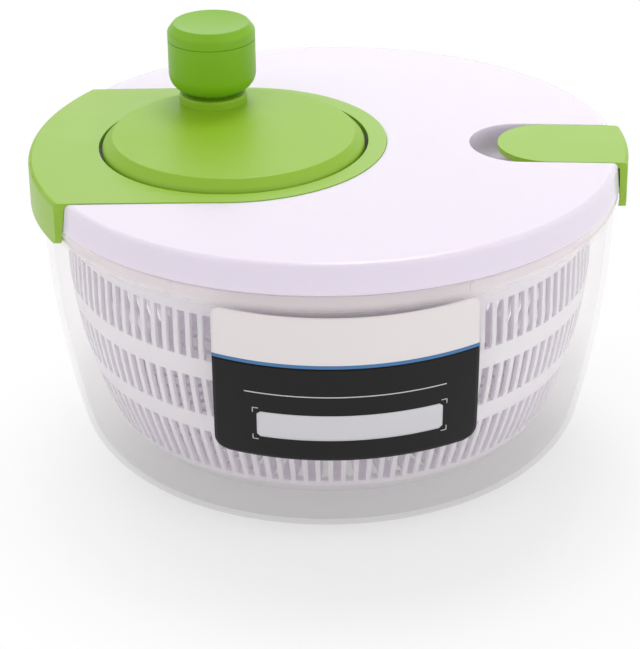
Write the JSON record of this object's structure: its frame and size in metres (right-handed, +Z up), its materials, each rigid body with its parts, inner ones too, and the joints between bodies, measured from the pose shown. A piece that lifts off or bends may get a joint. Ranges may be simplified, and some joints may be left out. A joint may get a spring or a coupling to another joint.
{
  "type": "salad spinner",
  "caption": "Hand-cranked salad spinner: clear bowl, slotted basket, and a lid with a geared crank disc, turning knob and rocker latch.",
  "frame": {"origin": "centre of the bowl's base, on the table", "axes": "+Z up along the basket's axis, +X towards the latch, -Y towards the front of the picture"},
  "size_m": [0.2414, 0.2358, 0.1647],
  "materials": {
    "clear_bowl": "clear moulded plastic",
    "white_basket": "satin moulded plastic",
    "white_lid": "glossy moulded plastic",
    "green_trim": "satin moulded plastic",
    "green_crank": "satin moulded plastic",
    "green_knob": "satin moulded plastic",
    "green_latch": "satin moulded plastic",
    "gear_plastic": "matt hard-wearing plastic",
    "plate_plastic": "satin moulded plastic",
    "steel": "bright plated steel"
  },
  "bodies": {
    "bowl": {"bowl": "clear_bowl"},
    "basket": {"basket": "white_basket"},
    "lid": {"lid_shell": "white_lid", "lid_trim": "green_trim", "trim_screws": "steel", "latch_pin": "steel", "latch_spring": "steel"},
    "latch": {"latch": "green_latch"},
    "crank": {"crank_disc": "green_crank", "ring_gear": "gear_plastic", "ring_gear_screws": "steel", "crank_washer": "steel", "crank_screw": "steel", "knob_washer": "steel", "knob_screw": "steel"},
    "knob": {"knob_body": "green_knob", "knob_cap": "green_knob"},
    "driver": {"pinion": "gear_plastic", "drive_plate": "plate_plastic", "driver_washer": "steel", "driver_screw": "steel"}
  },
  "joints": [
    {"name": "lid_lift", "type": "slide", "parent": "bowl", "child": "lid", "axis": [0, 0, 1], "range_m": [0, 0.15]},
    {"name": "basket_spin", "type": "hinge", "parent": "bowl", "child": "basket", "pos_m": [0, 0, 0.016], "axis": [0, 0, 1], "continuous": true},
    {"name": "driver_spin", "type": "hinge", "parent": "lid", "child": "driver", "pos_m": [0, 0, 0.112], "axis": [0, 0, 1], "continuous": true},
    {"name": "crank_spin", "type": "hinge", "parent": "lid", "child": "crank", "pos_m": [-0.03812, 0, 0.115], "axis": [0, 0, 1], "continuous": true},
    {"name": "knob_spin", "type": "hinge", "parent": "crank", "child": "knob", "pos_m": [-0.0487, 0.03546, 0.142], "axis": [0, 0, 1], "continuous": true},
    {"name": "latch_press", "type": "hinge", "parent": "lid", "child": "latch", "pos_m": [0.109, 0, 0.1194], "axis": [0, -1, 0], "range_deg": [0, 10], "stiffness_Nm_per_rad": 0.6, "springref_deg": -5.73, "deforming": ["latch_spring"]}
  ],
  "couplings": [
    {"joint": "driver_spin", "follows": "basket_spin", "ratio": 1},
    {"joint": "crank_spin", "follows": "basket_spin", "ratio": 0.20779}
  ]
}
